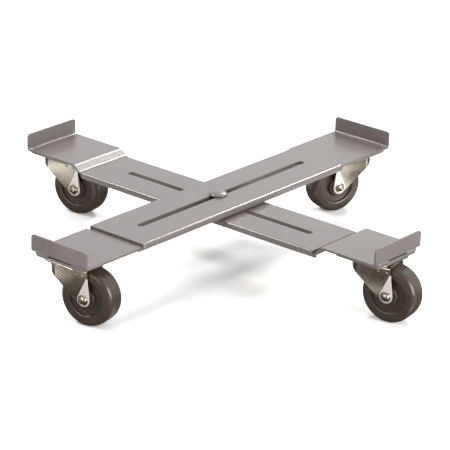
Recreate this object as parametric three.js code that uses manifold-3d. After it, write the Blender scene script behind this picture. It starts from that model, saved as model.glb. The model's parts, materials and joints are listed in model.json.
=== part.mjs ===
// Adjustable drum dolly: two crossed telescoping arms of folded sheet steel on four swivel casters.
// Millimetres, +Z up. The origin is on the floor, at the centre of the footprint. The upper arm lies along
// X and the lower arm along Y. Each arm is an outer channel and an inner channel that slides inside it.

import * as THREE from 'three';
import { mergeVertices } from 'three/addons/utils/BufferGeometryUtils.js';
import Module from 'manifold-3d';

const wasm = await Module();
wasm.setup();

// ---- Driving dimensions ---------------------------------------------------------------------------

const BOLT_AXIS = [-4, 10, 0]; // the centre bolt, beside the footprint's centre as one wheel trails outward

const TOUCH_GAP = 0.3; // between pieces that rest on each other
const SLIDE_GAP = 0.5; // between channels that slide in each other
const JOIN_DEPTH = 1; // how far two parts of one piece run into each other

const SHEET = 3; // steel sheet of all four plates
const PLATE_WIDTH = 100;
const TONGUE_WIDTH = PLATE_WIDTH - 2 * SHEET - 2 * SLIDE_GAP;
const OUTER_FLANGE = 8; // depth of the folded edges, from the top face
const INNER_FLANGE = 7;
const EDGE_BEND_RADIUS = 3.5;
const LIP_HEIGHT = 22.5; // above the platform's top face
const LIP_BEND_RADIUS = 5.5;
const CORNER_RADIUS = 4;
const SLOT_WIDTH = 10.4;

const UPPER_TOP = 98.5; // top face of the upper outer plate
const LOWER_TOP = 87.5; // top face of the lower outer plate between its platform and its free end
const LOWER_PLATFORM_TOP = 96.5; // both platforms of the lower arm are raised to this level
const LEVEL_STEP = SHEET + SLIDE_GAP; // from an outer plate's top face to its inner plate's

const CASTER_TOP = 88; // from the floor to the top face of the caster's own plate
const KINGPIN_SETBACK = 34; // from a lip's outer face to the swivel axis
const CASTER_TRAIL = 25.4; // from the swivel axis to the wheel axis
const WHEEL_RADIUS = 40;
const WHEEL_WIDTH = 31;

// Each plate is laid out along its own arm, with +X pointing out to its lip.
const PLATES = {
  upper_outer: {
    top: UPPER_TOP, platformTop: UPPER_TOP, direction: 0, inner: false,
    freeEnd: -213, foldEnd: 222, lip: 334, slot: [-168, 191], casterHeading: 160,
  },
  upper_inner: {
    top: UPPER_TOP - LEVEL_STEP, platformTop: UPPER_TOP - LEVEL_STEP, direction: 180, inner: true,
    freeEnd: -220, foldEnd: 219, lip: 326, slot: [-168, 191], casterHeading: -80,
  },
  lower_outer: {
    top: LOWER_TOP, platformTop: LOWER_PLATFORM_TOP, direction: 90, inner: false,
    freeEnd: -209, foldEnd: 217, riseStart: 219, riseEnd: 231, lip: 325,
    slot: [-169, 169], casterHeading: -80,
  },
  lower_inner: {
    top: LOWER_TOP - LEVEL_STEP, platformTop: LOWER_PLATFORM_TOP, direction: 270, inner: true,
    freeEnd: -215, foldEnd: 212, riseStart: 213, riseEnd: 223, lip: 316,
    slot: [-169, 169], casterHeading: -80,
  },
};

// ---- Materials ------------------------------------------------------------------------------------

const material = (color, roughness, metalness) =>
  new THREE.MeshStandardMaterial({ color, roughness, metalness });

const GREY_ENAMEL = () => material(0x9f9a98, 0.45, 0.1);
const ZINC_PLATE = () => material(0xc9c6bd, 0.22, 1.0);
const HARD_RUBBER = () => material(0x4a433e, 0.4, 0.0);
const PLAIN_STEEL = () => material(0x8c8a86, 0.35, 1.0);

// ---- Solids: joining, cutting and placing -----------------------------------------------------------

const MERGE_TOLERANCE = 1e-4;

function toSolid(geometry) {
  const bare = geometry.clone();
  bare.deleteAttribute('normal');
  bare.deleteAttribute('uv');
  const merged = mergeVertices(bare, MERGE_TOLERANCE);
  return new wasm.Manifold(new wasm.Mesh({
    numProp: 3,
    vertProperties: Float32Array.from(merged.attributes.position.array),
    triVerts: Uint32Array.from(merged.index.array),
  }));
}

function toGeometry(solid) {
  const mesh = solid.getMesh();
  const geometry = new THREE.BufferGeometry();
  geometry.setAttribute('position', new THREE.BufferAttribute(Float32Array.from(mesh.vertProperties), 3));
  geometry.setIndex(new THREE.BufferAttribute(Uint32Array.from(mesh.triVerts), 1));
  geometry.computeVertexNormals();
  return geometry;
}

const join = (...geometries) => toGeometry(geometries.map(toSolid).reduce((a, b) => a.add(b)));
const cut = (body, ...tools) => toGeometry(tools.map(toSolid).reduce((a, b) => a.subtract(b), toSolid(body)));
const common = (a, b) => toGeometry(toSolid(a).intersect(toSolid(b)));

const shapeOf = (points) => new THREE.Shape(points.map(([x, y]) => new THREE.Vector2(x, y)));
const extrude = (shape, depth, curveSegments = 6) =>
  new THREE.ExtrudeGeometry(shape, { depth, bevelEnabled: false, curveSegments });

// An outline in the XY plane, raised from the level low to the level high.
const raised = (shape, low, high, curveSegments) =>
  extrude(shape, high - low, curveSegments).translate(0, 0, low);

// An outline of (length, height) points, spread over the width about the centre line.
const spread = (shape, width) => extrude(shape, width).rotateX(Math.PI / 2).translate(0, width / 2, 0);

// An outline of (width, height) points, swept along the length from one station to another.
function swept(shape, from, to) {
  const turn = new THREE.Matrix4().makeBasis(
    new THREE.Vector3(0, 1, 0),
    new THREE.Vector3(0, 0, 1),
    new THREE.Vector3(1, 0, 0),
  );
  return extrude(shape, to - from).applyMatrix4(turn).translate(from, 0, 0);
}

// A body of revolution about Z from (radius, height) points.
const turned = (points, segments) =>
  new THREE.LatheGeometry(points.map(([r, z]) => new THREE.Vector2(r, z)), segments).rotateX(Math.PI / 2);

const radians = THREE.MathUtils.degToRad;

// Points of a circular arc, both ends included.
function arc(centreX, centreY, radius, startDegrees, endDegrees, steps) {
  return Array.from({ length: steps + 1 }, (_, i) => {
    const angle = radians(startDegrees + ((endDegrees - startDegrees) * i) / steps);
    return [centreX + radius * Math.cos(angle), centreY + radius * Math.sin(angle)];
  });
}

// A rectangle from (x0, y0) to (x1, y1) with its four corners rounded.
function roundedBox(x0, y0, x1, y1, radius) {
  return shapeOf([
    ...arc(x1 - radius, y1 - radius, radius, 0, 90, 3),
    ...arc(x0 + radius, y1 - radius, radius, 90, 180, 3),
    ...arc(x0 + radius, y0 + radius, radius, 180, 270, 3),
    ...arc(x1 - radius, y0 + radius, radius, 270, 360, 3),
  ]);
}

// ---- The four plates --------------------------------------------------------------------------------

// The line moved to its right by the distance, with mitred corners.
function offsetLine(points, distance) {
  const normals = points.slice(1).map(([x, y], i) => {
    const step = new THREE.Vector2(x - points[i][0], y - points[i][1]).normalize();
    return new THREE.Vector2(step.y, -step.x);
  });
  return points.map(([x, y], i) => {
    const before = normals[Math.max(i - 1, 0)];
    const after = normals[Math.min(i, normals.length - 1)];
    const mitre = before.clone().add(after).normalize();
    const reach = distance / mitre.dot(before);
    return [x + mitre.x * reach, y + mitre.y * reach];
  });
}

// The platform and lip as a bent strip: its top face is drawn from the fold end out to the lip's top.
function platformStrip(plate, start) {
  const bendCentre = plate.lip - LIP_BEND_RADIUS;
  const innerRadius = LIP_BEND_RADIUS - SHEET;
  const rise = plate.riseStart ? [[plate.riseStart, plate.top], [plate.riseEnd, plate.platformTop]] : [];
  const topLine = [
    [start, plate.top],
    ...rise,
    ...arc(bendCentre, plate.platformTop + innerRadius, innerRadius, -90, 0, 5),
    [plate.lip - SHEET, plate.platformTop + LIP_HEIGHT],
  ];
  const underside = offsetLine(topLine, SHEET);
  return spread(shapeOf([...topLine, ...underside.reverse()]), PLATE_WIDTH);
}

// The folded channel section, open downwards.
function channelSection(width, depth, top) {
  const half = width / 2;
  const corner = half - EDGE_BEND_RADIUS;
  return shapeOf([
    ...arc(corner, top - EDGE_BEND_RADIUS, EDGE_BEND_RADIUS, 0, 90, 3),
    ...arc(-corner, top - EDGE_BEND_RADIUS, EDGE_BEND_RADIUS, 90, 180, 3),
    [-half, top - depth],
    [-half + SHEET, top - depth],
    [-half + SHEET, top - SHEET],
    [half - SHEET, top - SHEET],
    [half - SHEET, top - depth],
    [half, top - depth],
  ]);
}

function slotCutter(plate) {
  const end = SLOT_WIDTH / 2;
  const [inboard, outboard] = plate.slot;
  const outline = shapeOf([
    ...arc(outboard - end, 0, end, -90, 90, 8),
    ...arc(inboard + end, 0, end, 90, 270, 8),
  ]);
  return raised(outline, plate.top - 2 * SHEET, plate.top + SHEET);
}

function plateGeometry(plate) {
  const width = plate.inner ? TONGUE_WIDTH : PLATE_WIDTH;
  const depth = plate.inner ? INNER_FLANGE : OUTER_FLANGE;
  const channel = swept(channelSection(width, depth, plate.top), plate.freeEnd, plate.foldEnd);
  const freeCorners = roundedBox(plate.freeEnd, -width / 2, plate.lip, width / 2, CORNER_RADIUS);
  const strip = platformStrip(plate, plate.foldEnd - JOIN_DEPTH);
  const lipTop = plate.platformTop + LIP_HEIGHT;
  const lipCorners = roundedBox(-PLATE_WIDTH / 2, 0, PLATE_WIDTH / 2, lipTop, CORNER_RADIUS);
  const slotted = cut(common(channel, raised(freeCorners, 0, lipTop)), slotCutter(plate));
  return join(slotted, common(strip, swept(lipCorners, 0, plate.lip)));
}

// ---- Caster pieces, drawn with the swivel axis on Z and the wheel trailing along +X ------------------

const PAD = { length: 72, width: 86, setback: 1, cornerRadius: 3, hole: 9.5 };
const TOP_PLATE = { length: 66, width: 62, thickness: 2, hole: 6.3 };
const RACE = { radius: 19, ball: 1.35 };
const CROWN = { top: 83, thickness: 2, radius: 29, skirt: 9 };
const LEG = {
  inner: 17.5, thickness: 2.5, hole: 4.4,
  front: -27, back: 21, // where a leg's leading and trailing edges leave the crown
  tip: 9.2, tipStart: 215, tipEnd: 368, // the round end about the axle, from its leading to its trailing side
  bow: [-14, 55], // the point that the leading edge bows towards
};
const KINGPIN = { radius: 6, headRadius: 9, headHeight: 2.4, capRadius: 8.5, capHeight: 2.5, rim: 1 };
const WHEEL = {
  hub: 14, hubStandsOut: 1, hubDraft: 1.5, // the hub widens by its draft down to the web
  web: 24, webDepth: 4.2, bead: 3, beadDepth: 0.5, // the bead is the slope from the web up to the tyre's face
  tyreFace: 35.5, edge: 1.8, shoulder: 5,
};
const SLEEVE = { outer: 6, inner: 4.4, length: 34.4 };
const AXLE = { radius: 4.1, headRadius: 6.3, headHeight: 4, rim: 1.2, brow: 4.7, crown: 2.4 };
const ROUND_STEPS = 16;
const WHEEL_STEPS = 32;

const circle = (radius) => new THREE.Shape().absarc(0, 0, radius, 0, 2 * Math.PI, false);

// The welded pad under a platform. It is as thick as its platform needs to stand level on the casters.
function padGeometry(plate) {
  const underside = plate.platformTop - SHEET;
  const frontEdge = KINGPIN_SETBACK - PAD.setback;
  const half = PAD.width / 2;
  const outline = roundedBox(frontEdge - PAD.length, -half, frontEdge, half, PAD.cornerRadius);
  outline.holes.push(circle(PAD.hole));
  return raised(outline, CASTER_TOP + TOUCH_GAP, underside - TOUCH_GAP, ROUND_STEPS / 2);
}

function topPlateGeometry() {
  const { length, width, thickness, hole } = TOP_PLATE;
  const outline = roundedBox(-length / 2, -width / 2, length / 2, width / 2, 2 * CORNER_RADIUS);
  outline.holes.push(circle(hole));
  return raised(outline, CASTER_TOP - thickness, CASTER_TOP, ROUND_STEPS / 2);
}

// The ring of balls, as the ring that they fill.
function ballRaceGeometry() {
  const level = (CROWN.top + CASTER_TOP - TOP_PLATE.thickness) / 2;
  const ring = arc(RACE.radius, level, RACE.ball, 0, 360, 8);
  ring[ring.length - 1] = ring[0];
  return turned(ring, ROUND_STEPS);
}

function kingpinGeometry() {
  const headTop = CROWN.top - CROWN.thickness - TOUCH_GAP;
  const capBottom = CASTER_TOP + TOUCH_GAP;
  return turned([
    [0, headTop - KINGPIN.headHeight],
    [KINGPIN.headRadius - KINGPIN.rim, headTop - KINGPIN.headHeight],
    [KINGPIN.headRadius, headTop - KINGPIN.headHeight + KINGPIN.rim],
    [KINGPIN.headRadius, headTop],
    [KINGPIN.radius, headTop],
    [KINGPIN.radius, capBottom],
    [KINGPIN.capRadius, capBottom],
    [KINGPIN.capRadius, capBottom + KINGPIN.rim],
    [KINGPIN.radius, capBottom + KINGPIN.capHeight],
    [0, capBottom + KINGPIN.capHeight],
  ], ROUND_STEPS);
}

// A leg seen from the side: a bowed leading edge, a rounded tip round the axle, a straight trailing edge.
function legOutline() {
  const top = CROWN.top - CROWN.thickness / 2;
  const tip = arc(CASTER_TRAIL, WHEEL_RADIUS, LEG.tip, LEG.tipStart, LEG.tipEnd, 10);
  const lead = new THREE.QuadraticBezierCurve(
    new THREE.Vector2(LEG.front, top - CROWN.skirt),
    new THREE.Vector2(...LEG.bow),
    new THREE.Vector2(...tip[0]),
  );
  return shapeOf([
    [LEG.front, top],
    ...lead.getPoints(6).slice(0, -1).map((p) => [p.x, p.y]),
    ...tip,
    [LEG.back, top - CROWN.skirt],
    [LEG.back, top],
  ]);
}

function forkGeometry() {
  const leg = (side) => {
    const outer = LEG.inner + LEG.thickness;
    return spread(legOutline(), LEG.thickness).translate(0, side * (outer - LEG.thickness / 2), 0);
  };
  const halfWidth = LEG.inner + LEG.thickness;
  const crownPlan = common(
    raised(circle(CROWN.radius), CROWN.top - CROWN.thickness, CROWN.top, ROUND_STEPS / 2),
    new THREE.BoxGeometry(4 * CROWN.radius, 2 * halfWidth, 4 * CASTER_TOP),
  );
  const kingpinHole = raised(circle(KINGPIN.radius + TOUCH_GAP), 0, CASTER_TOP, ROUND_STEPS / 2);
  const axleHole = new THREE.CylinderGeometry(LEG.hole, LEG.hole, 3 * halfWidth, ROUND_STEPS);
  axleHole.translate(CASTER_TRAIL, 0, WHEEL_RADIUS);
  return cut(join(crownPlan, leg(1), leg(-1)), kingpinHole, axleHole);
}

// Places a piece turned about Z onto the wheel's axis.
const ontoAxle = (geometry) => geometry.rotateX(Math.PI / 2).translate(CASTER_TRAIL, 0, WHEEL_RADIUS);

function wheelGeometry() {
  const face = WHEEL_WIDTH / 2;
  const bore = SLEEVE.outer + TOUCH_GAP;
  const half = [
    [bore, face + WHEEL.hubStandsOut],
    [WHEEL.hub, face + WHEEL.hubStandsOut],
    [WHEEL.hub + WHEEL.hubDraft, face - WHEEL.webDepth],
    [WHEEL.web, face - WHEEL.webDepth],
    [WHEEL.web + WHEEL.bead, face - WHEEL.beadDepth],
    [WHEEL.tyreFace, face],
    [WHEEL_RADIUS - WHEEL.edge, face - WHEEL.edge],
    [WHEEL_RADIUS, face - WHEEL.shoulder],
  ];
  const otherHalf = half.map(([r, z]) => [r, -z]);
  return ontoAxle(turned([...otherHalf, ...half.reverse(), otherHalf[0]], WHEEL_STEPS));
}

function sleeveGeometry() {
  const end = SLEEVE.length / 2;
  return ontoAxle(turned([
    [SLEEVE.inner, -end],
    [SLEEVE.outer, -end],
    [SLEEVE.outer, end],
    [SLEEVE.inner, end],
    [SLEEVE.inner, -end],
  ], ROUND_STEPS));
}

// The axle rivet, with a domed head outside each leg.
function axleGeometry() {
  const seat = LEG.inner + LEG.thickness + TOUCH_GAP;
  const head = [
    [AXLE.radius, seat],
    [AXLE.headRadius, seat],
    [AXLE.headRadius, seat + AXLE.rim],
    [AXLE.brow, seat + AXLE.headHeight * 0.8],
    [AXLE.crown, seat + AXLE.headHeight],
    [0, seat + AXLE.headHeight],
  ];
  const mirrored = head.map(([r, z]) => [r, -z]).reverse();
  return ontoAxle(turned([...mirrored, ...head], ROUND_STEPS));
}

// ---- Hardware on the centre bolt ---------------------------------------------------------------------

const BOLT = {
  radius: 4.8, chamfer: 1, bottom: 64,
  headRadius: 13, headHeight: 5.6, rim: 0.8, domeSteps: 4,
  neck: 9.6, // across the square that keeps the bolt from turning in the slot
};
const SPACER = { radius: 20, hole: BOLT.radius + TOUCH_GAP };
const WASHER = { radius: 18, thickness: 2.7 };
const NUT = { acrossFlats: 16, height: 8 };

function centreBoltGeometry() {
  const headBottom = UPPER_TOP + TOUCH_GAP;
  const domeBottom = headBottom + BOLT.rim;
  const domeHeight = BOLT.headHeight - BOLT.rim;
  const quarterEllipse = arc(0, 0, 1, 0, 90, BOLT.domeSteps).slice(0, -1);
  const dome = turned([
    [0, headBottom],
    [BOLT.headRadius, headBottom],
    ...quarterEllipse.map(([x, y]) => [BOLT.headRadius * x, domeBottom + domeHeight * y]),
    [0, headBottom + BOLT.headHeight],
  ], ROUND_STEPS);
  const neckHeight = SHEET + JOIN_DEPTH;
  const neck = new THREE.BoxGeometry(BOLT.neck, BOLT.neck, neckHeight);
  neck.translate(0, 0, headBottom + JOIN_DEPTH - neckHeight / 2);
  const shank = turned([
    [0, BOLT.bottom],
    [BOLT.radius - BOLT.chamfer, BOLT.bottom],
    [BOLT.radius, BOLT.bottom + BOLT.chamfer],
    [BOLT.radius, headBottom + JOIN_DEPTH],
    [0, headBottom + JOIN_DEPTH],
  ], ROUND_STEPS);
  return join(dome, neck, shank);
}

// A flat ring on the bolt between two levels.
function ringGeometry(radius, hole, low, high) {
  return turned([[hole, low], [radius, low], [radius, high], [hole, high], [hole, low]], ROUND_STEPS);
}

function spacerGeometry() {
  const above = UPPER_TOP - LEVEL_STEP - SHEET;
  return ringGeometry(SPACER.radius, SPACER.hole, LOWER_TOP + TOUCH_GAP, above - TOUCH_GAP);
}

const washerTop = LOWER_TOP - LEVEL_STEP - SHEET - TOUCH_GAP;

function washerGeometry() {
  return ringGeometry(WASHER.radius, SPACER.hole, washerTop - WASHER.thickness, washerTop);
}

function nutGeometry() {
  const top = washerTop - WASHER.thickness - TOUCH_GAP;
  const cornerRadius = NUT.acrossFlats / Math.sqrt(3);
  const hexagon = shapeOf(arc(0, 0, cornerRadius, 0, 300, 5));
  hexagon.holes.push(circle(SPACER.hole));
  return raised(hexagon, top - NUT.height, top, ROUND_STEPS / 2);
}

// ---- Assembly -----------------------------------------------------------------------------------------

function named(name, geometry, surface) {
  const mesh = new THREE.Mesh(geometry, surface);
  mesh.name = name;
  return mesh;
}

function casterGroup(prefix, plate) {
  const group = new THREE.Group();
  group.position.x = plate.lip - KINGPIN_SETBACK;
  group.add(named(`${prefix}_pad`, padGeometry(plate), GREY_ENAMEL()));
  const caster = new THREE.Group();
  caster.rotation.z = radians(plate.casterHeading - plate.direction);
  caster.add(
    named(`${prefix}_caster_fork`, forkGeometry(), ZINC_PLATE()),
    named(`${prefix}_caster_wheel`, wheelGeometry(), HARD_RUBBER()),
    named(`${prefix}_caster_sleeve`, sleeveGeometry(), PLAIN_STEEL()),
    named(`${prefix}_caster_axle`, axleGeometry(), ZINC_PLATE()),
  );
  group.add(
    named(`${prefix}_caster_top_plate`, topPlateGeometry(), ZINC_PLATE()),
    named(`${prefix}_caster_ball_race`, ballRaceGeometry(), PLAIN_STEEL()),
    named(`${prefix}_caster_kingpin`, kingpinGeometry(), ZINC_PLATE()),
    caster,
  );
  return group;
}

const dolly = new THREE.Group();
dolly.position.set(...BOLT_AXIS);

for (const [prefix, plate] of Object.entries(PLATES)) {
  const arm = new THREE.Group();
  arm.rotation.z = radians(plate.direction);
  arm.add(named(`${prefix}_plate`, plateGeometry(plate), GREY_ENAMEL()), casterGroup(prefix, plate));
  dolly.add(arm);
}

dolly.add(
  named('centre_bolt', centreBoltGeometry(), GREY_ENAMEL()),
  named('centre_spacer', spacerGeometry(), PLAIN_STEEL()),
  named('centre_washer', washerGeometry(), ZINC_PLATE()),
  named('centre_nut', nutGeometry(), ZINC_PLATE()),
);

export default dolly;
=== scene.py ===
"""Looks of an adjustable drum dolly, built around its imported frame.

The dolly is two crossed arms of folded sheet steel on four swivel casters. Each arm is an outer channel
and an inner channel that slides inside it. Lengths are metres, in the frame's own axes.
"""

import json
import logging
import math
from collections.abc import Callable, Iterator, Sequence
from contextlib import contextmanager
from dataclasses import dataclass
from enum import Enum

import bmesh
import bpy
from bpy.types import Material, Node, NodeSocket, Object, World
from mathutils import Matrix, Vector


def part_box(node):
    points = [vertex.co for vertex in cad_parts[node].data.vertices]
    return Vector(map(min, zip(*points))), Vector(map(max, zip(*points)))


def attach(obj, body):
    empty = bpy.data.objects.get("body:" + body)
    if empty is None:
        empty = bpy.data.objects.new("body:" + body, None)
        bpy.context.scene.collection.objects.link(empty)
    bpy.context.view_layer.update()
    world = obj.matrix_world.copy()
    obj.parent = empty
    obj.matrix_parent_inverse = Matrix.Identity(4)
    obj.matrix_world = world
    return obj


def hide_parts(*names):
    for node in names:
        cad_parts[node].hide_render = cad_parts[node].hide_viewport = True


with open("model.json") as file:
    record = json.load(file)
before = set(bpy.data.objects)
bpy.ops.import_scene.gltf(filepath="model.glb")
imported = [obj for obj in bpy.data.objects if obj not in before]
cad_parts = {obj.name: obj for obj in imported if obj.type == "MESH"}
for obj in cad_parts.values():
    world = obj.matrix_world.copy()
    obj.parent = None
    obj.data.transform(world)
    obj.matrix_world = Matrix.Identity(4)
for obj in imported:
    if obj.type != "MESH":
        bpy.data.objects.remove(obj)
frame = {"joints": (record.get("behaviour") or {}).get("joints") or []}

logging.basicConfig(level=logging.INFO, format="%(message)s")
log = logging.getLogger("drum_dolly")

MM = 0.001
NEAR = 0.02 * MM  # how close a corner has to be to a plane to lie on it
RADIANS_AT_SCALE_ONE = 20  # how far a wave texture's phase runs in a metre at a scale of 1
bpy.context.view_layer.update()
CornerTest = Callable[[Vector], bool]


class Element(Enum):
    """What a selection is made of."""

    VERTEX = "VERT"
    EDGE = "EDGE"
    FACE = "FACE"


class Along(Enum):
    """An axis of the frame, as a direction."""

    X = (1.0, 0.0, 0.0)
    Y = (0.0, 1.0, 0.0)
    Z = (0.0, 0.0, 1.0)


class Combine(Enum):
    """How a second solid changes the first."""

    JOIN = "UNION"
    CUT = "DIFFERENCE"
    KEEP_COMMON = "INTERSECT"


# ---- Modelling ----


class Part:
    """A mesh shaped with modelling operators."""

    def __init__(self, obj: Object) -> None:
        """Takes over an object.

        Args:
            obj: The mesh object, with its place already in its mesh.
        """
        self.obj = obj

    @classmethod
    def adopt(cls, name: str) -> "Part":
        """Names the primitive that was just added and puts its place into its mesh."""
        bpy.ops.object.transform_apply(location=True, rotation=True, scale=True)
        obj = bpy.context.active_object
        obj.name = name
        obj.data.name = name
        return cls(obj)

    @classmethod
    def block(cls, name: str, low: Sequence[float], high: Sequence[float]) -> "Part":
        """Adds a rectangular block.

        Args:
            name: The object's name.
            low: Its lowest corner.
            high: Its highest corner.

        Returns:
            The new part.
        """
        low, high = Vector(low), Vector(high)
        bpy.ops.object.select_all(action="DESELECT")
        bpy.ops.mesh.primitive_cube_add(size=1, location=(low + high) / 2, scale=high - low)
        return cls.adopt(name)

    @classmethod
    def sheet(cls, name: str, low: Sequence[float], high: Sequence[float]) -> "Part":
        """Adds a level sheet with no thickness, from its lowest to its highest corner."""
        low, high = Vector(low), Vector(high)
        bpy.ops.object.select_all(action="DESELECT")
        bpy.ops.mesh.primitive_plane_add(size=1, location=(low + high) / 2)
        bpy.ops.transform.resize(value=(high.x - low.x, high.y - low.y, 1))
        return cls.adopt(name)

    @classmethod
    def turned(
        cls,
        name: str,
        stations: Sequence[tuple[float, float]],
        centre: Sequence[float] = (0.0, 0.0, 0.0),
        along: Along = Along.Z,
        sides: int = 64,
    ) -> "Part":
        """Makes a round solid by extruding and scaling a disc from one end to the other.

        Args:
            name: The object's name.
            stations: (radius, place along the axis) of each ring, in order.
            centre: A point on the axis, from which places are counted.
            along: The axis.
            sides: How many sides a ring has.

        Returns:
            The new part.
        """
        axis, centre = Vector(along.value), Vector(centre)
        radius, place = stations[0]
        tilt = Vector(Along.Z.value).rotation_difference(axis).to_euler()
        bpy.ops.object.select_all(action="DESELECT")
        bpy.ops.mesh.primitive_circle_add(
            vertices=sides, radius=radius, fill_type="NGON", location=centre + axis * place, rotation=tilt
        )
        part = cls.adopt(name)
        with part.edit():
            bpy.ops.mesh.select_mode(type=Element.FACE.value)
            bpy.ops.mesh.select_all(action="SELECT")
            for next_radius, next_place in stations[1:]:
                step = axis * (next_place - place)
                bpy.ops.mesh.extrude_region_move(TRANSFORM_OT_translate={"value": step})
                ratio = next_radius / radius
                ring_centre = centre + axis * next_place
                bpy.ops.transform.resize(value=(ratio, ratio, ratio), center_override=ring_centre)
                radius, place = next_radius, next_place
        return part.tidy()

    @classmethod
    def ball(
        cls,
        name: str,
        radius: float,
        centre: Sequence[float],
        segments: int,
        rings: int,
        scale: Sequence[float] = (1.0, 1.0, 1.0),
    ) -> "Part":
        """Adds a ball with this many sides round it and this many steps from top to bottom."""
        bpy.ops.object.select_all(action="DESELECT")
        bpy.ops.mesh.primitive_uv_sphere_add(
            segments=segments, ring_count=rings, radius=radius, location=centre, scale=scale
        )
        return cls.adopt(name)

    @contextmanager
    def edit(self) -> Iterator[None]:
        """Opens edit mode on this part alone, with nothing selected, and leaves it again."""
        self.activate()
        bpy.ops.object.mode_set(mode="EDIT")
        bpy.ops.mesh.select_all(action="DESELECT")
        yield
        bpy.ops.object.mode_set(mode="OBJECT")

    def activate(self) -> None:
        """Makes this part the only selected object and the active one."""
        bpy.ops.object.select_all(action="DESELECT")
        self.obj.select_set(True)
        bpy.context.view_layer.objects.active = self.obj

    def pick(self, element: Element, test: CornerTest, along: Along | None = None) -> None:
        """Selects the elements all of whose corners pass a test, in edit mode.

        Args:
            element: What to select.
            test: Says whether a corner's place passes.
            along: Where given, only edges in this direction are selected.
        """
        bpy.ops.mesh.select_mode(type=element.value)
        bpy.ops.mesh.select_all(action="DESELECT")
        mesh = bmesh.from_edit_mesh(self.obj.data)
        found = {Element.VERTEX: mesh.verts, Element.EDGE: mesh.edges, Element.FACE: mesh.faces}[element]
        for item in found:
            corners = [item] if element is Element.VERTEX else list(item.verts)
            if not all(test(corner.co) for corner in corners):
                continue
            if along is not None:
                run = (corners[1].co - corners[0].co).normalized()
                if abs(run.dot(Vector(along.value))) < 0.999:
                    continue
            item.select_set(True)
        bmesh.update_edit_mesh(self.obj.data)

    def round_edges(self, test: CornerTest, radius: float, along: Along, segments: int = 8) -> "Part":
        """Rounds the edges in one direction whose corners pass a test."""
        with self.edit():
            self.pick(Element.EDGE, test, along)
            bpy.ops.mesh.bevel(offset=radius, segments=segments, affect="EDGES")
        return self

    def delete_faces(self, test: CornerTest) -> "Part":
        """Deletes the faces all of whose corners pass a test."""
        with self.edit():
            self.pick(Element.FACE, test)
            bpy.ops.mesh.delete(type="FACE")
        return self

    def modify(self, kind: str, **settings: object) -> "Part":
        """Adds a modifier with its settings and applies it.

        Args:
            kind: Blender's name for the modifier.
            **settings: Its settings.

        Returns:
            This part.
        """
        modifier = self.obj.modifiers.new(kind.lower(), kind)
        for key, value in settings.items():
            setattr(modifier, key, value)
        self.activate()
        bpy.ops.object.modifier_apply(modifier=modifier.name)
        return self

    def combine(self, other: "Part", how: Combine) -> "Part":
        """Joins, cuts or keeps the common volume with another part, which is used up."""
        self.modify("BOOLEAN", object=other.obj, operation=how.value, solver="EXACT")
        bpy.data.objects.remove(other.obj)
        return self

    def drill(self, radius: float, centre: Sequence[float], along: Along, reach: float) -> "Part":
        """Cuts a round hole that reaches this far both ways from its centre."""
        return self.combine(
            Part.turned("drill", [(radius, -reach), (radius, reach)], centre, along, sides=48), Combine.CUT
        )

    def merge(self, *others: "Part") -> "Part":
        """Makes one object of this part and others that only touch it."""
        self.activate()
        for other in others:
            other.obj.select_set(True)
        bpy.ops.object.join()
        return self

    def hull(self) -> "Part":
        """Replaces the mesh by the convex solid round it."""
        with self.edit():
            bpy.ops.mesh.select_all(action="SELECT")
            bpy.ops.mesh.convex_hull()
        return self.tidy()

    def tidy(self) -> "Part":
        """Merges doubles, dissolves needless edges on flat faces and turns all faces outwards."""
        with self.edit():
            bpy.ops.mesh.select_all(action="SELECT")
            bpy.ops.mesh.remove_doubles(threshold=0.002 * MM)
            bpy.ops.mesh.dissolve_limited(angle_limit=math.radians(0.4))
            bpy.ops.mesh.select_all(action="SELECT")
            bpy.ops.mesh.normals_make_consistent(inside=False)
        return self

    def soften(self, width: float, segments: int = 2, sharper_than: float = 30.0) -> "Part":
        """Rounds every sharp edge a little and shades the faces between them flat.

        Args:
            width: How far a rounding reaches from the edge.
            segments: How many steps a rounding has.
            sharper_than: The least turn of an edge that is rounded, in degrees.

        Returns:
            This part.
        """
        self.tidy()
        angle = math.radians(sharper_than)
        self.modify("BEVEL", width=width, segments=segments, limit_method="ANGLE", angle_limit=angle)
        self.activate()
        bpy.ops.object.shade_smooth_by_angle(angle=math.radians(50))
        return self.modify("WEIGHTED_NORMAL", keep_sharp=True)

    def move(self, matrix: Matrix) -> "Part":
        """Moves and turns the mesh itself, so that the object stays at the origin."""
        self.obj.data.transform(matrix)
        return self

    def copy(self, name: str) -> "Part":
        """Copies the part, with a mesh of its own."""
        obj = self.obj.copy()
        obj.data = self.obj.data.copy()
        obj.name = name
        obj.data.name = name
        bpy.context.scene.collection.objects.link(obj)
        return Part(obj)

    def dress_faces(self, finish: Material, other: Material, test: CornerTest) -> None:
        """Dresses the part in one finish, and the faces that pass a test in another."""
        self.obj.data.materials.append(finish)
        self.obj.data.materials.append(other)
        with self.edit():
            self.pick(Element.FACE, test)
            self.obj.active_material_index = 1
            bpy.ops.object.material_slot_assign()

    def fit(self, body: str, finish: Material, slot: str, *stands_for: str) -> None:
        """Dresses the finished part and lets it ride on its body.

        Args:
            body: The body that it moves with.
            finish: Its material.
            slot: The record's material slot; not used.
            *stands_for: The nodes that it is shown in place of.
        """
        if not self.obj.data.materials:
            self.obj.data.materials.append(finish)
        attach(self.obj, body)
        if stands_for:
            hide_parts(*stands_for)
        log.info("%s: %d faces, on %s", self.obj.name, len(self.obj.data.polygons), body)


# ---- Finishes ----


def linear(colour: str) -> tuple[float, float, float, float]:
    """Turns an sRGB hex colour to linear light.

    Args:
        colour: Six hex digits.

    Returns:
        Red, green, blue and alpha.
    """
    channels = [int(colour[i:i + 2], 16) / 255 for i in (0, 2, 4)]
    light = [c / 12.92 if c <= 0.04045 else ((c + 0.055) / 1.055) ** 2.4 for c in channels]
    return (*light, 1.0)


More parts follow.
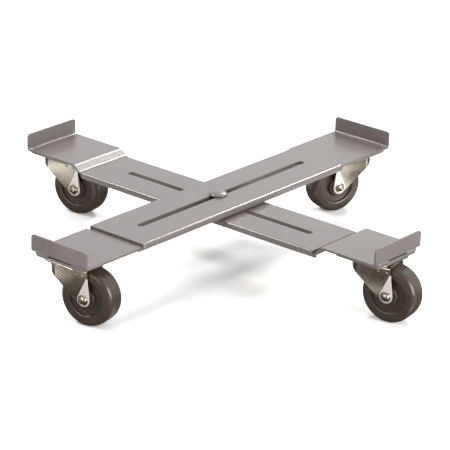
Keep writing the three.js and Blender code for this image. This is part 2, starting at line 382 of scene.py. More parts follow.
def per_metre(period: float) -> float:
    """The texture scale of a pattern that repeats at this many metres."""
    return 1 / period


def add_node(
    owner: Material | World,
    kind: str,
    settings: dict[str, object] | None = None,
    **links: NodeSocket,
) -> Node:
    """Adds a node to a material or a world.

    Args:
        owner: The material or world.
        kind: Blender's name for the node.
        settings: Values of its properties and inputs, by name.
        **links: The sockets that feed its inputs; an underscore stands for a space.

    Returns:
        The node.
    """
    node = owner.node_tree.nodes.new(kind)
    for name, value in (settings or {}).items():
        if hasattr(node, name):
            setattr(node, name, value)
        else:
            node.inputs[name].default_value = value
    for name, socket in links.items():
        owner.node_tree.links.new(socket, node.inputs[name.replace("_", " ")])
    return node


def plain_material(name: str, **inputs: object) -> tuple[Material, Node]:
    """Makes a material with one principled shader.

    Args:
        name: The material's name.
        **inputs: The shader's values; an underscore stands for a space.

    Returns:
        The material and its shader.
    """
    material = bpy.data.materials.new(name)
    material.use_nodes = True
    shader = material.node_tree.nodes["Principled BSDF"]
    for key, value in inputs.items():
        shader.inputs[key.replace("_", " ")].default_value = value
    return material, shader


def set_ramp(
    node: Node, dark: str, light: str, span: tuple[float, float] = (0.0, 1.0)
) -> None:
    """Sets the colours and the places of the two ends of a colour ramp."""
    for element, colour, position in zip(node.color_ramp.elements, (dark, light), span):
        element.color = linear(colour)
        element.position = position


def noise(
    material: Material, place: NodeSocket, size: float, detail: float
) -> NodeSocket:
    """Adds cloudy noise, whose clouds are about this size, and gives its value."""
    settings = {"Scale": per_metre(size), "Detail": detail}
    return add_node(material, "ShaderNodeTexNoise", settings, Vector=place).outputs["Fac"]


@dataclass(frozen=True)
class Finish:
    """A finish that a pattern leads from one colour and roughness to another."""

    name: str
    dark: str
    light: str
    gloss: tuple[float, float]

    def start(self, **inputs: float) -> tuple[Material, Node, NodeSocket]:
        """Makes the material, with its shader and its object coordinates."""
        material, shader = plain_material(self.name, **inputs)
        return material, shader, add_node(material, "ShaderNodeTexCoord").outputs["Object"]

    def spread(self, material: Material, shader: Node, pattern: NodeSocket) -> None:
        """Lets a pattern from 0 to 1 set the colour and the roughness."""
        tone = add_node(material, "ShaderNodeValToRGB", Fac=pattern)
        set_ramp(tone, self.dark, self.light)
        ends = {"To Min": self.gloss[0], "To Max": self.gloss[1]}
        sheen = add_node(material, "ShaderNodeMapRange", ends, Value=pattern)
        links = material.node_tree.links
        links.new(tone.outputs["Color"], shader.inputs["Base Color"])
        links.new(sheen.outputs["Result"], shader.inputs["Roughness"])


def relief(
    material: Material, shader: Node, height: NodeSocket, strength: float, depth: float
) -> None:
    """Raises and sinks the surface by a pattern."""
    bump = add_node(material, "ShaderNodeBump", {"Strength": strength, "Distance": depth}, Height=height)
    material.node_tree.links.new(bump.outputs["Normal"], shader.inputs["Normal"])


@dataclass(frozen=True)
class BakedEnamel(Finish):
    """Sprayed and baked grey enamel on sheet steel.

    A semi-gloss coat that shows a faint orange peel, small drifts of tone where the coat is thicker, and a
    sheen that is not quite even.
    """

    name: str = "baked_enamel_warm_grey_sprayed"
    dark: str = "615b5a"
    light: str = "676160"
    drift_size: float = 45 * MM
    peel_size: float = 1.6 * MM
    peel_depth: float = 0.012 * MM
    peel_strength: float = 0.6
    gloss: tuple[float, float] = (0.30, 0.40)
    refraction: float = 1.5
    coat: float = 0.7
    coat_roughness: float = 0.18

    def material(self) -> Material:
        """Builds the material."""
        material, shader, place = self.start(
            IOR=self.refraction, Coat_Weight=self.coat, Coat_Roughness=self.coat_roughness
        )
        drift = noise(material, place, self.drift_size, detail=4.0)
        peel = noise(material, place, self.peel_size, detail=2.0)
        self.spread(material, shader, drift)
        relief(material, shader, peel, self.peel_strength, self.peel_depth)
        return material


@dataclass(frozen=True)
class BrightZinc(Finish):
    """Bright zinc plate over pressed steel.

    A mirror that the steel under it makes a little wavy, with a faint straw tint and a soft haze in patches.
    """

    name: str = "bright_zinc_plated_pressed_steel"
    dark: str = "b5aa98"
    light: str = "d8d1c4"
    haze_size: float = 9 * MM
    wave_size: float = 5 * MM
    wave_depth: float = 0.05 * MM
    wave_strength: float = 0.5
    gloss: tuple[float, float] = (0.10, 0.24)
    metallic: float = 1.0

    def material(self) -> Material:
        """Builds the material."""
        material, shader, place = self.start(Metallic=self.metallic)
        haze = noise(material, place, self.haze_size, detail=5.0)
        wave = noise(material, place, self.wave_size, detail=1.0)
        self.spread(material, shader, haze)
        relief(material, shader, wave, self.wave_strength, self.wave_depth)
        return material


@dataclass(frozen=True)
class HardRubber(Finish):
    """Compression moulded hard rubber.

    Dark brown grey with a low gloss on the mould faces, and faint broad rings round the axle that the
    turned mould left.
    """

    name: str = "moulded_hard_rubber"
    dark: str = "332a24"
    light: str = "3f352c"
    bloom_size: float = 14 * MM
    ring_step: float = 2.2 * MM  # how far outwards the rings advance by one radian of their wave
    ring_depth: float = 0.08 * MM
    ring_strength: float = 0.35
    gloss: tuple[float, float] = (0.26, 0.38)
    refraction: float = 1.52
    coat: float = 0.2
    coat_roughness: float = 0.12

    def material(self, axle: Vector, turn: float) -> Material:
        """Builds the material for one wheel.

        Args:
            axle: The wheel's centre.
            turn: The wheel's heading about the vertical, in radians.

        Returns:
            The material.
        """
        material, shader, place = self.start(
            IOR=self.refraction, Coat_Weight=self.coat, Coat_Roughness=self.coat_roughness
        )
        turned_back = Matrix.Rotation(-turn, 4, "Z") @ -axle
        at_axle = {"Location": turned_back, "Rotation": (0.0, 0.0, -turn)}
        centred = add_node(material, "ShaderNodeMapping", at_axle, Vector=place).outputs["Vector"]
        ring_settings = {
            "wave_type": "RINGS",
            "rings_direction": "Y",
            "Scale": per_metre(self.ring_step) / RADIANS_AT_SCALE_ONE,
            "Distortion": 1.0,
            "Detail": 2.0,
        }
        rings = add_node(material, "ShaderNodeTexWave", ring_settings, Vector=centred).outputs["Fac"]
        bloom = noise(material, place, self.bloom_size, detail=4.0)
        self.spread(material, shader, bloom)
        relief(material, shader, rings, self.ring_strength, self.ring_depth)
        return material


@dataclass(frozen=True)
class OiledSteel(Finish):
    """Turned plain steel with a film of oil: darker than the plate, with fine tool marks."""

    name: str = "turned_steel_oiled"
    dark: str = "6d6963"
    light: str = "8f8b84"
    mark_size: float = 0.5 * MM
    gloss: tuple[float, float] = (0.22, 0.40)

    def material(self) -> Material:
        """Builds the material."""
        material, shader, place = self.start(Metallic=1.0)
        marks = noise(material, place, self.mark_size, detail=3.0)
        self.spread(material, shader, marks)
        return material


@dataclass(frozen=True)
class Finishes:
    """The materials that several pieces share."""

    enamel: Material
    zinc: Material
    # a lighter, less metallic copy of the zinc for the fork's flats: a painted highlight
    painted_highlight_zinc: Material
    steel: Material
    # dark steel for the slot walls: painted shade inside the slots
    painted_slot_shade: Material


# ---- The arms ----


def box_in(matrix: Matrix, node: str) -> tuple[Vector, Vector]:
    """A node's lowest and highest corners, measured in a frame that is turned by quarter turns.

    Args:
        matrix: That frame's place in the row frame.
        node: The node.

    Returns:
        The two corners.
    """
    corners = [matrix.inverted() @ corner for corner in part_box(node)]
    low = Vector(map(min, *corners))
    high = Vector(map(max, *corners))
    return low, high


def bolt_axis() -> Vector:
    """Where the centre bolt stands on the floor."""
    low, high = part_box("centre_bolt")
    return Vector(((low.x + high.x) / 2, (low.y + high.y) / 2, 0))


@dataclass
class FoldedPlate:
    """One plate of an arm, drawn with +X out to its lip and the bolt's axis at the origin."""

    prefix: str
    heading: float  # degrees about +Z
    is_inner: bool
    platform: float  # from the lip's outer face back to the end of the folded edges
    slot: tuple[float, float]
    rise: float = 0.0  # how far the platform stands above the rest of the plate
    rise_from: float = 0.0  # where the rise starts and ends, back from the lip's outer face
    rise_to: float = 0.0
    sheet: float = 3 * MM
    lip_height: float = 22.5 * MM
    lip_bend: float = 2.5 * MM
    rise_bend: float = 2.4 * MM
    edge_bend: float = 3.5 * MM
    corner: float = 4 * MM
    slot_width: float = 10.4 * MM
    join_depth: float = 1 * MM
    burr: float = 0.8 * MM  # the rounding that the paint gives every cut edge
    outer_depth: float = 8 * MM
    inner_depth: float = 7 * MM
    inner_narrower: float = 7 * MM  # by how much the inner channel is narrower than its platform

    def __post_init__(self) -> None:
        """Reads the plate's place from its node."""
        turn = Matrix.Rotation(math.radians(self.heading), 4, "Z")
        self.place = Matrix.Translation(bolt_axis()) @ turn
        low, high = box_in(self.place, f"{self.prefix}_plate")
        self.free_end, self.lip = low.x, high.x
        self.width = high.y - low.y
        self.lip_top = high.z
        self.platform_top = high.z - self.lip_height
        self.top = self.platform_top - self.rise
        self.fold_end = self.lip - self.platform
        self.depth = self.inner_depth if self.is_inner else self.outer_depth
        self.channel_width = self.width - (self.inner_narrower if self.is_inner else 0)

    def _channel(self) -> Part:
        """The length with folded edges: a block with round shoulders, opened below and given a wall."""
        half = self.channel_width / 2
        bottom = self.top - self.depth
        name = f"{self.prefix}_folded_plate"
        channel = Part.block(name, (self.free_end, -half, bottom), (self.fold_end, half, self.top))
        channel.round_edges(lambda p: p.z > self.top - NEAR, self.edge_bend, Along.X)
        channel.delete_faces(lambda p: p.z < bottom + NEAR)
        channel.delete_faces(lambda p: p.x < self.free_end + NEAR)
        channel.delete_faces(lambda p: p.x > self.fold_end - NEAR)
        channel.modify("SOLIDIFY", thickness=self.sheet, offset=-1, use_even_offset=True)
        corners = Part.block("corners", (self.free_end, -half, 0), (self.lip, half, self.lip_top))
        corners.round_edges(lambda p: p.x < self.free_end + NEAR, self.corner, Along.Z)
        return channel.combine(corners, Combine.KEEP_COMMON)

    def _platform(self) -> Part:
        """The platform and lip: a sheet extruded along its bends, rounded and given its thickness."""
        half = self.width / 2
        start = self.fold_end - self.join_depth
        inside = self.lip - self.sheet
        turns = [(inside, self.platform_top), (inside, self.lip_top)]
        first = inside
        if self.rise:
            first = self.lip - self.rise_from
            turns = [(self.lip - self.rise_to, self.platform_top), *turns]
        else:
            turns = turns[1:]
        strip = Part.sheet("platform", (start, -half, self.top), (first, half, self.top))
        with strip.edit():
            at = (first, self.top)
            for turn in turns:
                strip.pick(Element.EDGE, lambda p: (p.x - at[0]) ** 2 + (p.z - at[1]) ** 2 < NEAR ** 2)
                step = (turn[0] - at[0], 0, turn[1] - at[1])
                bpy.ops.mesh.extrude_region_move(TRANSFORM_OT_translate={"value": step})
                at = turn
        foot = Vector((inside, 0, self.platform_top))
        strip.round_edges(lambda p: (Vector((p.x, 0, p.z)) - foot).length < NEAR, self.lip_bend, Along.Y)
        if self.rise:
            low, high = self.lip - self.rise_from, self.lip - self.rise_to
            strip.round_edges(
                lambda p: abs(p.x - low) < NEAR or abs(p.x - high) < NEAR, self.rise_bend, Along.Y
            )
        with strip.edit():
            strip.pick(Element.VERTEX, lambda p: p.z > self.lip_top - NEAR)
            bpy.ops.mesh.bevel(offset=self.corner, segments=8, affect="VERTICES")
        return strip.modify("SOLIDIFY", thickness=self.sheet, offset=-1, use_even_offset=True)

    def _slot(self) -> Part:
        """The long hole for the bolt, as the solid that it removes."""
        half = self.slot_width / 2
        low = (self.slot[0], -half, self.top - 2 * self.sheet)
        high = (self.slot[1], half, self.top + self.sheet)
        return Part.block("slot", low, high).round_edges(lambda p: True, 0.998 * half, Along.Z, 12)

    def _in_slot(self, p: Vector) -> bool:
        """Says whether a corner lies on the wall of the slot, below its softened rim."""
        beside = abs(p.y) < self.slot_width / 2 + 0.1 * MM
        along = self.slot[0] - NEAR < p.x < self.slot[1] + NEAR
        return beside and along and p.z < self.top - 0.5 * self.burr

    def build(self, finishes: Finishes) -> None:
        """Builds the plate and puts it on its body."""
        plate = self._channel()
        plate.combine(self._platform(), Combine.JOIN)
        plate.combine(self._slot(), Combine.CUT)
        plate.soften(self.burr, segments=3, sharper_than=40)
        # The slot walls are dressed in dark steel: painted shade for the shadow inside the slot.
        plate.dress_faces(finishes.enamel, finishes.painted_slot_shade, self._in_slot)
        plate.move(self.place)
        plate.fit(self.prefix, finishes.enamel, "grey_enamel", f"{self.prefix}_plate")


# ---- The casters ----


@dataclass
class Caster:
    """A swivel caster, drawn with its swivel axis on Z, its trail along +X and the floor at Z = 0."""

    trail: float
    axle_height: float
    crown_top: float
    plate_low: float
    plate_high: float
    sheet: float = 2.5 * MM
    fork_half: float = 20 * MM
    front: float = 33 * MM
    front_corner: float = 14 * MM
    skirt: float = 9 * MM
    back: float = 27 * MM
    tip: float = 10.5 * MM
    shoulder: float = 4.5 * MM
    race_radius: float = 19 * MM
    balls: int = 26
    wheel_half: float = 16.5 * MM  # half the hub's length
    sleeve_radius: float = 6 * MM
    pin_hole: float = 6.3 * MM  # for the kingpin, and in the wheel for the sleeve
    axle_hole: float = 4.4 * MM
    ball_seats: tuple[float, float] = (12 * MM, 24 * MM)  # their places along the trail
    ball_seat_radius: float = 2.2 * MM

    @property
    def axle(self) -> Vector:
        """The wheel's centre."""
        return Vector((self.trail, 0, self.axle_height))

    def wheel(self) -> Part:
        """A solid wheel with a stepped face: hub, sunk web, tyre with a rounded shoulder."""
        radius, face = self.axle_height, self.wheel_half - 1 * MM
        side = [  # the hub, the sunk web, the bead round it and the tyre's shoulder
            (13.2 * MM, self.wheel_half),
            (14.0 * MM, self.wheel_half - 0.8 * MM),
            (14.6 * MM, face - 4.4 * MM),
            (17.0 * MM, face - 4.6 * MM),
            (24.0 * MM, face - 4.0 * MM),
            (25.2 * MM, face - 0.9 * MM),
            (26.6 * MM, face - 0.2 * MM),
            (28.5 * MM, face),
            (radius - 5.6 * MM, face - 0.1 * MM),
            (radius - 4.2 * MM, face - 0.4 * MM),
            (radius - 2.4 * MM, face - 1.4 * MM),
            (radius - 1.0 * MM, face - 3.0 * MM),
            (radius - 0.2 * MM, face - 5.2 * MM),
            (radius, face - 8.0 * MM),
        ]
        rings = [(r, -y) for r, y in side] + side[::-1]
        wheel = Part.turned("wheel", rings, self.axle, Along.Y, sides=128)
        wheel.drill(self.pin_hole, self.axle, Along.Y, 2 * self.wheel_half)
        return wheel.soften(0.5 * MM, segments=3, sharper_than=28)

    def _fork_shell(self) -> Part:
        """The pressed shell: a block with a round front and rolled shoulders, open below and behind."""
        floor, back = 15 * MM, self.trail + 2 * self.tip
        half, top = self.fork_half, self.crown_top
        shell = Part.block("fork", (-self.front, -half, floor), (back, half, top))
        shell.round_edges(lambda p: p.x < -self.front + NEAR, self.front_corner, Along.Z, 20)
        with shell.edit():
            shell.pick(Element.EDGE, lambda p: p.z > top - NEAR)
            bpy.ops.mesh.bevel(offset=self.shoulder, segments=6, affect="EDGES")
        shell.delete_faces(lambda p: p.z < floor + NEAR)
        shell.delete_faces(lambda p: p.x > back - NEAR)
        return shell.modify("SOLIDIFY", thickness=self.sheet, offset=-1, use_even_offset=True)

    def _side_outline(self) -> Part:
        """The fork's outline from the side, as a solid: the hull of its crown, its knee and its tip."""
        reach = 2 * self.fork_half
        low = (-2 * self.front, -reach, self.crown_top - self.skirt)
        crown = Part.block("outline", low, (self.back, reach, self.crown_top + self.skirt))
        with crown.edit():
            crown.pick(Element.VERTEX, lambda p: p.x < -self.front)
            bpy.ops.transform.translate(value=(self.front - 1 * MM, 0, 0))
        knee_at = (-8 * MM, 0, self.crown_top - 22 * MM)
        knee = Part.turned("knee", [(6 * MM, -reach), (6 * MM, reach)], knee_at, Along.Y)
        tip = Part.turned("tip", [(self.tip, -reach), (self.tip, reach)], self.axle, Along.Y, sides=96)
        return crown.merge(knee, tip).hull()

    def fork(self) -> Part:
        """The pressed fork: shell and outline, ball seats pressed through, kingpin and axle holes."""
        fork = self._fork_shell()
        fork.combine(self._side_outline(), Combine.KEEP_COMMON)
        for side in (-1, 1):
            for x in self.ball_seats:
                seat_at = (x, side * (self.fork_half - 1.1 * MM), self.crown_top - 9 * MM)
                fork.combine(Part.ball("ball_seat", self.ball_seat_radius, seat_at, 24, 14), Combine.JOIN)
        fork.drill(self.pin_hole, (0, 0, self.crown_top), Along.Z, 10 * MM)
        fork.drill(self.axle_hole, self.axle, Along.Y, 2 * self.fork_half)
        return fork.soften(0.35 * MM, segments=2, sharper_than=25)

    def fork_flats(self) -> Part:
        """The flats on both legs, which widen downwards to the axle's seat; their lighter zinc is a painted
        highlight.
        """
        flats = []
        for side in (-1, 1):
            low, high = sorted((side * (self.fork_half - 0.5 * MM), side * (self.fork_half + 0.8 * MM)))
            seat_radius, peak_radius = self.tip - 1.1 * MM, 1.2 * MM
            seat = Part.turned("flat", [(seat_radius, low), (seat_radius, high)], self.axle, Along.Y, 96)
            peak_at = self.axle + Vector((4.5 * MM, 0, 30 * MM))
            peak = Part.turned("peak", [(peak_radius, low), (peak_radius, high)], peak_at, Along.Y, 24)
            flat = seat.merge(peak).hull()
            flats.append(flat.drill(self.axle_hole, self.axle, Along.Y, 2 * self.fork_half))
        return flats[0].merge(flats[1]).soften(0.3 * MM, segments=3)

    def axle_rivet(self) -> Part:
        """The axle: a shank with a domed head at each end."""
        seat = self.fork_half + 1.0 * MM
        head = [
            (4.1 * MM, seat),
            (7.6 * MM, seat),
            (7.6 * MM, seat + 1.1 * MM),
            (6.9 * MM, seat + 1.3 * MM),
            (6.7 * MM, seat + 0.2 * MM),
            (5.9 * MM, seat + 0.2 * MM),
            (5.6 * MM, seat + 1.5 * MM),
            (4.8 * MM, seat + 2.6 * MM),
            (3.6 * MM, seat + 3.3 * MM),
            (2.2 * MM, seat + 3.7 * MM),
            (0.8 * MM, seat + 3.8 * MM),
        ]
        rings = [(r, -y) for r, y in head[::-1]] + head
        rivet = Part.turned("rivet", rings, self.axle, Along.Y)
        return rivet.soften(0.3 * MM, segments=3)

    def sleeve(self) -> Part:
        """The plain steel tube that the wheel turns on."""
        end = self.wheel_half + 0.7 * MM
        ends = [(self.sleeve_radius, -end), (self.sleeve_radius, end)]
        tube = Part.turned("sleeve", ends, self.axle, Along.Y)
        return tube.drill(self.axle_hole, self.axle, Along.Y, 2 * end).soften(0.2 * MM)

    def top_plate(self, length: float, width: float) -> Part:
        """The caster's own plate, with round corners and the kingpin's hole."""
        low = (-length / 2, -width / 2, self.plate_low)
        plate = Part.block("top_plate", low, (length / 2, width / 2, self.plate_high))
        plate.round_edges(lambda p: True, 8 * MM, Along.Z)
        plate.drill(self.pin_hole, (0, 0, self.plate_low), Along.Z, 10 * MM)
        return plate.soften(0.4 * MM)

    def ball_race(self) -> Part:
        """The ring of bearing balls between the top plate and the fork."""
        ball = (self.plate_low - self.crown_top) / 2 - 0.1 * MM
        level = (self.plate_low + self.crown_top) / 2
        race = Part.ball("ball_race", ball, (self.race_radius, 0, level), 16, 10)
        with race.edit():
            bpy.ops.mesh.select_all(action="SELECT")
            bpy.ops.mesh.spin(
                steps=self.balls, dupli=True, angle=2 * math.pi, use_auto_merge=False,
                center=(0, 0, level), axis=(0, 0, 1),
            )
            bpy.ops.mesh.select_all(action="SELECT")
            bpy.ops.mesh.remove_doubles(threshold=0.002 * MM)
        race.activate()
        bpy.ops.object.shade_smooth()
        return race

    def kingpin(self) -> Part:
        """The swivel rivet, headed below the crown and above the top plate."""
        under = self.crown_top - self.sheet - 0.3 * MM
        over = self.plate_high + 0.3 * MM
        rings = [
            (3 * MM, under - 2.4 * MM),
            (7.5 * MM, under - 2.2 * MM),
            (9 * MM, under - 1.2 * MM),
            (9 * MM, under),
            (6 * MM, under),
            (6 * MM, over),
            (8.5 * MM, over),
            (8.5 * MM, over + 1 * MM),
            (6 * MM, over + 2.4 * MM),
        ]
        return Part.turned("kingpin", rings).soften(0.3 * MM)


@dataclass
class CasterStation:
    """One end of an arm: the pad welded under the platform, and the caster under the pad."""

    prefix: str
    arm_heading: float  # degrees about +Z
    weld_radius: float = 3.5 * MM
    weld_length: float = 20 * MM
    beads: int = 14
    ripple_size: float = 2.4 * MM
    ripple_height: float = 0.35 * MM
    pad_corner: float = 3 * MM
    pin_clearance: float = 9.5 * MM

    def __post_init__(self) -> None:
        """Reads the swivel axis and the caster's heading from the joints."""
        joints = {joint["name"]: joint for joint in frame["joints"]}
        swivel = Vector(joints[f"{self.prefix}_swivel"]["pos_m"])
        axle = Vector(joints[f"{self.prefix}_roll"]["pos_m"])
        trail = axle - swivel
        self.axle = axle
        self.trail = trail.xy.length
        self.turn = math.atan2(trail.y, trail.x)
        foot = Matrix.Translation((swivel.x, swivel.y, 0))
        self.arm_place = foot @ Matrix.Rotation(math.radians(self.arm_heading), 4, "Z")
        self.fork_place = foot @ Matrix.Rotation(self.turn, 4, "Z")

    def pad(self) -> Part:
        """The plate between platform and caster, with the clearance hole for the kingpin's upper head."""
        low, high = box_in(self.arm_place, f"{self.prefix}_pad")
        pad = Part.block(f"{self.prefix}_weld_pad", low, high)
        pad.round_edges(lambda p: True, self.pad_corner, Along.Z)
        pad.drill(self.pin_clearance, (0, 0, low.z), Along.Z, 20 * MM)
        return pad.soften(0.5 * MM)

    def weld(self, side: int, number: int) -> Part:
        """A bead of overlapping puddles in the groove between the pad's front edge and the lip's bend."""
        low, high = box_in(self.arm_place, f"{self.prefix}_pad")
        end = side * (high.y - 2 * MM)
        step = -side * self.weld_length / self.beads
        groove = (high.x - 2.6 * MM, end, high.z + 0.7 * MM)
        name = f"{self.prefix}_weld_bead_{number}"
        bead = Part.ball(name, self.weld_radius, groove, 20, 12, scale=(1.0, 0.8, 1.0))
        bead.modify(
            "ARRAY", count=self.beads, use_relative_offset=False, use_constant_offset=True,
            constant_offset_displace=(0, step, 0),
        )
        ripple = bpy.data.textures.new("weld_ripple", "CLOUDS")
        ripple.noise_scale = self.ripple_size
        bead.modify("DISPLACE", texture=ripple, strength=self.ripple_height, texture_coords="GLOBAL")
        bead.activate()
        bpy.ops.object.shade_smooth()
        return bead

    def build(self, master: dict[str, Part], finishes: Finishes) -> None:
        """Copies the caster's pieces to this end and dresses them.

        Args:
            master: The caster's pieces as first modelled.
            finishes: The shared materials.
        """
        prefix, enamel, zinc, steel = self.prefix, finishes.enamel, finishes.zinc, finishes.steel
        self.pad().move(self.arm_place).fit(prefix, enamel, "grey_enamel", f"{prefix}_pad")
        for number, side in enumerate((-1, 1), start=1):
            self.weld(side, number).move(self.arm_place).fit(prefix, enamel, "grey_enamel")
        rubber = HardRubber().material(self.axle, self.turn)
        fork_body, wheel_body = f"{prefix}_fork", f"{prefix}_wheel"
        layout = [
            ("top_plate", self.arm_place, prefix, zinc, "zinc_plate"),
            ("ball_race", self.arm_place, prefix, steel, "plain_steel"),
            ("kingpin", self.arm_place, prefix, zinc, "zinc_plate"),
            ("fork", self.fork_place, fork_body, zinc, "zinc_plate"),
            ("sleeve", self.fork_place, fork_body, steel, "plain_steel"),
            ("axle", self.fork_place, fork_body, zinc, "zinc_plate"),
            # the flats' lighter zinc is a painted highlight
            ("fork_flats", self.fork_place, fork_body, finishes.painted_highlight_zinc, "zinc_plate"),
            ("wheel", self.fork_place, wheel_body, rubber, "hard_rubber"),
        ]
        for kind, place, body, finish, slot in layout:
            piece = master[kind].copy(f"{prefix}_{kind}_finished")
            stands_for = () if kind == "fork_flats" else (f"{prefix}_caster_{kind}",)
            piece.move(place).fit(body, finish, slot, *stands_for)


def caster_master() -> dict[str, Part]:
    """Models one caster's pieces, to be copied to every end.

    Returns:
        The pieces by kind.
    """
    station = CasterStation("upper_outer", 0.0)
    plate_low, plate_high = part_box("upper_outer_caster_top_plate")
    crown_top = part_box("upper_outer_caster_fork")[1].z
    caster = Caster(
        trail=station.trail,
        axle_height=station.axle.z,
        crown_top=crown_top,
        plate_low=plate_low.z,
        plate_high=plate_high.z,
    )
    size = plate_high - plate_low
    return {
        "wheel": caster.wheel(),
        "fork": caster.fork(),
        "fork_flats": caster.fork_flats(),
        "axle": caster.axle_rivet(),
        "sleeve": caster.sleeve(),
        "top_plate": caster.top_plate(size.x, size.y),
        "ball_race": caster.ball_race(),
        "kingpin": caster.kingpin(),
    }


# ---- Hardware at the crossing ----


@dataclass
class CentreBolt:
    """The carriage bolt through the crossing arms, with its spacer, washer and nut."""

    shank: float = 4.8 * MM
    neck: float = 9.6 * MM
    head: float = 13 * MM
    head_height: float = 5.6 * MM
    dome_steps: int = 9
    hole: float = 5.1 * MM
    nut_chamfer: float = 1.8 * MM

    def __post_init__(self) -> None:
        """Reads the bolt's place from the nodes."""
        self.foot = bolt_axis()
        self.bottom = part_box("centre_bolt")[0].z
        self.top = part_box("centre_bolt")[1].z

    def bolt(self) -> Part:
        """Shank, square neck and low domed head."""
        seat = self.top - self.head_height
        rings = [(self.shank - 1 * MM, self.bottom), (self.shank, self.bottom + 1 * MM), (self.shank, seat)]
        rings.append((self.head - 0.6 * MM, seat))
        for i in range(self.dome_steps):
            angle = math.pi / 2 * i / self.dome_steps
            height = (self.head_height - 1 * MM) * math.sin(angle)
            rings.append((self.head * math.cos(angle), seat + 1 * MM + height))
        bolt = Part.turned("carriage_bolt", rings, self.foot, sides=96)
        half = self.neck / 2
        low = self.foot + Vector((-half, -half, seat - 3 * MM))
        high = self.foot + Vector((half, half, seat + 0.5 * MM))
        return bolt.combine(Part.block("neck", low, high), Combine.JOIN).soften(0.25 * MM, sharper_than=35)

    def ring(self, name: str, node: str) -> Part:
        """A flat ring in a node's place."""
        low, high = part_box(node)
        radius = (high.x - low.x) / 2
        ring = Part.turned(name, [(radius, low.z), (radius, high.z)], self.foot, sides=96)
        return ring.drill(self.hole, self.foot + Vector((0, 0, low.z)), Along.Z, 20 * MM).soften(0.4 * MM)

    def nut(self) -> Part:
        """A hexagon nut with its corners turned off at both faces."""
        low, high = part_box("centre_nut")
        flat = (high.y - low.y) / 2
        corner = flat / math.cos(math.pi / 6)
        nut = Part.turned("nut", [(corner, low.z), (corner, high.z)], self.foot, sides=6)
        round_corners = Part.turned(
            "turned_corners",
            [
                (0.96 * flat, low.z),
                (1.01 * corner, low.z + self.nut_chamfer),
                (1.01 * corner, high.z - self.nut_chamfer),
                (0.96 * flat, high.z),
            ],
            self.foot,
            sides=72,
        )
        nut.combine(round_corners, Combine.KEEP_COMMON)
        nut.drill(self.hole, self.foot + Vector((0, 0, low.z)), Along.Z, 20 * MM)
        nut.obj.name = "centre_nut_finished"
        return nut.soften(0.2 * MM)

    def build(self, finishes: Finishes) -> None:
        """Builds the four pieces and puts them on their bodies."""
        bolt = self.bolt()
        bolt.obj.name = "centre_carriage_bolt"
        bolt.fit("hub", finishes.enamel, "grey_enamel", "centre_bolt")
        spacer = self.ring("centre_spacer_finished", "centre_spacer")
        spacer.fit("hub", finishes.steel, "plain_steel", "centre_spacer")
        washer = self.ring("centre_washer_finished", "centre_washer")
        washer.fit("pivot", finishes.zinc, "zinc_plate", "centre_washer")
        self.nut().fit("hub", finishes.zinc, "zinc_plate", "centre_nut")


# ---- Studio ----


@dataclass(frozen=True)
class Softbox:
    """A square soft light that faces the dolly."""

    name: str
    place: tuple[float, float, float]
    size: float
    watts: float
    colour: str = "ffffff"

    def add(self) -> None:
        """Adds the light to the scene."""
        bpy.ops.object.light_add(type="AREA", location=self.place)
        light = bpy.context.active_object
        light.name = self.name
        light.rotation_euler = (-Vector(self.place)).to_track_quat("-Z", "Y").to_euler()
        light.data.shape = "SQUARE"
        light.data.size = self.size
        light.data.energy = self.watts
        light.data.color = linear(self.colour)[:3]


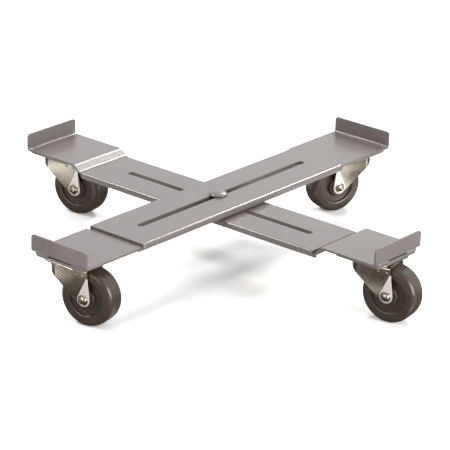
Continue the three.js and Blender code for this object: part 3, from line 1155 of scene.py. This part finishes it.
@dataclass
class Studio:
    """A pale floor, soft lights and a camera on a long lens."""

    azimuth: float = -50.55
    elevation: float = 21.5
    roll: float = 1.95
    distance: float = 3.75
    lens: float = 212.8
    aim_height: float = 80 * MM
    aim_right: float = 11 * MM
    aim_up: float = -25 * MM
    clip_end: float = 50
    sky_colours: tuple[str, str] = ("a89e94", "ffffff")
    sky_span: tuple[float, float] = (0.15, 0.6)  # where they meet, from -X at 0 to +X at 1
    sky_strength: float = 0.95
    floor_radius: float = 14
    floor_colour: str = "fbfbfb"
    floor_roughness: float = 0.9
    floor_glow: float = 0.14
    # the colours, span and size of the painted reflection: dark warm patches that only glossy rays see on
    # the floor
    painted_reflection_colours: tuple[str, str] = ("2c2419", "ffffff")
    painted_reflection_span: tuple[float, float] = (0.54, 0.64)
    painted_reflection_size: float = 1 / 9

    def camera(self) -> None:
        """Adds the camera and makes it the scene's."""
        azimuth, elevation, roll = (math.radians(a) for a in (self.azimuth, self.elevation, self.roll))
        right = Vector((math.cos(azimuth), math.sin(azimuth), 0))
        level = math.cos(elevation)
        back = Vector((math.sin(azimuth) * level, -math.cos(azimuth) * level, math.sin(elevation)))
        up = back.cross(right)
        aim = bolt_axis() + Vector((0, 0, self.aim_height)) + right * self.aim_right + up * self.aim_up
        across = right * math.cos(roll) + up * math.sin(roll)
        upright = up * math.cos(roll) - right * math.sin(roll)
        bpy.ops.object.camera_add()
        camera = bpy.context.active_object
        camera.name = "camera"
        camera.matrix_world = Matrix.Translation(aim + back * self.distance) @ Matrix((
            across, upright, back
        )).transposed().to_4x4()
        camera.data.lens = self.lens
        camera.data.clip_end = self.clip_end
        bpy.context.scene.camera = camera

    def lights(self) -> None:
        """Adds the lights: three for the faces, then two that the rolled edges mirror as bright lines."""
        boxes = [
            Softbox("overhead", (0.4, 0.3, 2.6), size=2.2, watts=9),
            Softbox("front", (0.2, -2.6, 0.7), size=1.6, watts=78),
            Softbox("left", (-2.6, 0.2, 0.8), size=1.4, watts=16),
            Softbox("right_back", (1.94, 0.35, 1.76), size=0.6, watts=40, colour="fffdf8"),
            Softbox("left_back", (-0.9, 1.5, 1.8), size=0.6, watts=34),
        ]
        for box in boxes:
            box.add()

    def sky(self) -> None:
        """A pale sky that is darker and warmer to the left, so that the faces on that side are in shade."""
        world = bpy.data.worlds.new("studio")
        world.use_nodes = True
        place = add_node(world, "ShaderNodeTexCoord").outputs["Generated"]
        across = add_node(world, "ShaderNodeSeparateXYZ", Vector=place).outputs["X"]
        share = add_node(world, "ShaderNodeMapRange", {"From Min": -1.0}, Value=across).outputs["Result"]
        ramp = add_node(world, "ShaderNodeValToRGB", Fac=share)
        set_ramp(ramp, *self.sky_colours, self.sky_span)
        background = world.node_tree.nodes["Background"]
        world.node_tree.links.new(ramp.outputs["Color"], background.inputs["Color"])
        background.inputs["Strength"].default_value = self.sky_strength
        bpy.context.scene.world = world

    def floor(self) -> None:
        """A wide pale floor that glossy rays see with dark warm patches: a painted reflection in the
        plating.
        """
        bpy.ops.object.select_all(action="DESELECT")
        bpy.ops.mesh.primitive_circle_add(vertices=96, radius=self.floor_radius, fill_type="NGON")
        floor = Part.adopt("studio_floor")
        material, shader = plain_material(
            "matt_white_card_painted_reflection", Roughness=self.floor_roughness, Emission_Strength=self.floor_glow
        )
        place = add_node(material, "ShaderNodeTexCoord").outputs["Object"]
        painted_reflection_tone = add_node(
            material, "ShaderNodeValToRGB", Fac=noise(material, place, self.painted_reflection_size, detail=1.0)
        )
        set_ramp(painted_reflection_tone, *self.painted_reflection_colours, self.painted_reflection_span)
        # Painted reflection: glossy rays see the dark warm patches, the camera sees the plain card, and the
        # floor's glow carries the patches too.
        ray = add_node(material, "ShaderNodeLightPath").outputs["Is Glossy Ray"]
        card = add_node(material, "ShaderNodeMix", {"data_type": "RGBA"}, Factor=ray)
        seen, painted_reflection_socket = (socket for socket in card.inputs if socket.type == "RGBA")
        colour = next(socket for socket in card.outputs if socket.type == "RGBA")
        seen.default_value = linear(self.floor_colour)
        links = material.node_tree.links
        links.new(painted_reflection_tone.outputs["Color"], painted_reflection_socket)
        links.new(colour, shader.inputs["Base Color"])
        links.new(colour, shader.inputs["Emission Color"])
        floor.obj.data.materials.append(material)

    def build(self) -> None:
        """Sets up the studio."""
        self.camera()
        self.lights()
        self.sky()
        self.floor()
        bpy.context.scene.view_settings.view_transform = "Standard"


def plates() -> list[FoldedPlate]:
    """The four plates, from the outer to the inner one of each arm."""
    upper_slot = (-168 * MM, 191 * MM)
    lower_slot = (-169 * MM, 169 * MM)
    return [
        FoldedPlate("upper_outer", 0, is_inner=False, platform=112 * MM, slot=upper_slot),
        FoldedPlate("upper_inner", 180, is_inner=True, platform=107 * MM, slot=upper_slot),
        FoldedPlate(
            "lower_outer", 90, is_inner=False, platform=108 * MM, slot=lower_slot,
            rise=9 * MM, rise_from=106 * MM, rise_to=94 * MM,
        ),
        FoldedPlate(
            "lower_inner", 270, is_inner=True, platform=104 * MM, slot=lower_slot,
            rise=12.5 * MM, rise_from=103 * MM, rise_to=93 * MM,
        ),
    ]


def main() -> None:
    """Builds the dolly and the studio."""
    # A lighter, less metallic copy of the zinc for the fork's flats: a painted highlight where the flats
    # catch the light.
    painted_highlight_zinc = BrightZinc(
        "zinc_plate_painted_highlight", dark="eeebe4", light="fbfaf7", gloss=(0.25, 0.35), metallic=0.6
    )
    finishes = Finishes(
        enamel=BakedEnamel().material(),
        zinc=BrightZinc().material(),
        painted_highlight_zinc=painted_highlight_zinc.material(),
        steel=OiledSteel().material(),
        # Dark steel on the slot walls is painted shade inside the slots.
        painted_slot_shade=OiledSteel("slot_wall_painted_shade_dark_steel", "241f1a", "3a332c", gloss=(0.5, 0.7)).material(),
    )
    master = caster_master()
    for plate in plates():
        plate.build(finishes)
        CasterStation(plate.prefix, plate.heading).build(master, finishes)
    for part in master.values():
        bpy.data.objects.remove(part.obj)
    CentreBolt().build(finishes)
    Studio().build()


if __name__ == "__main__":
    main()
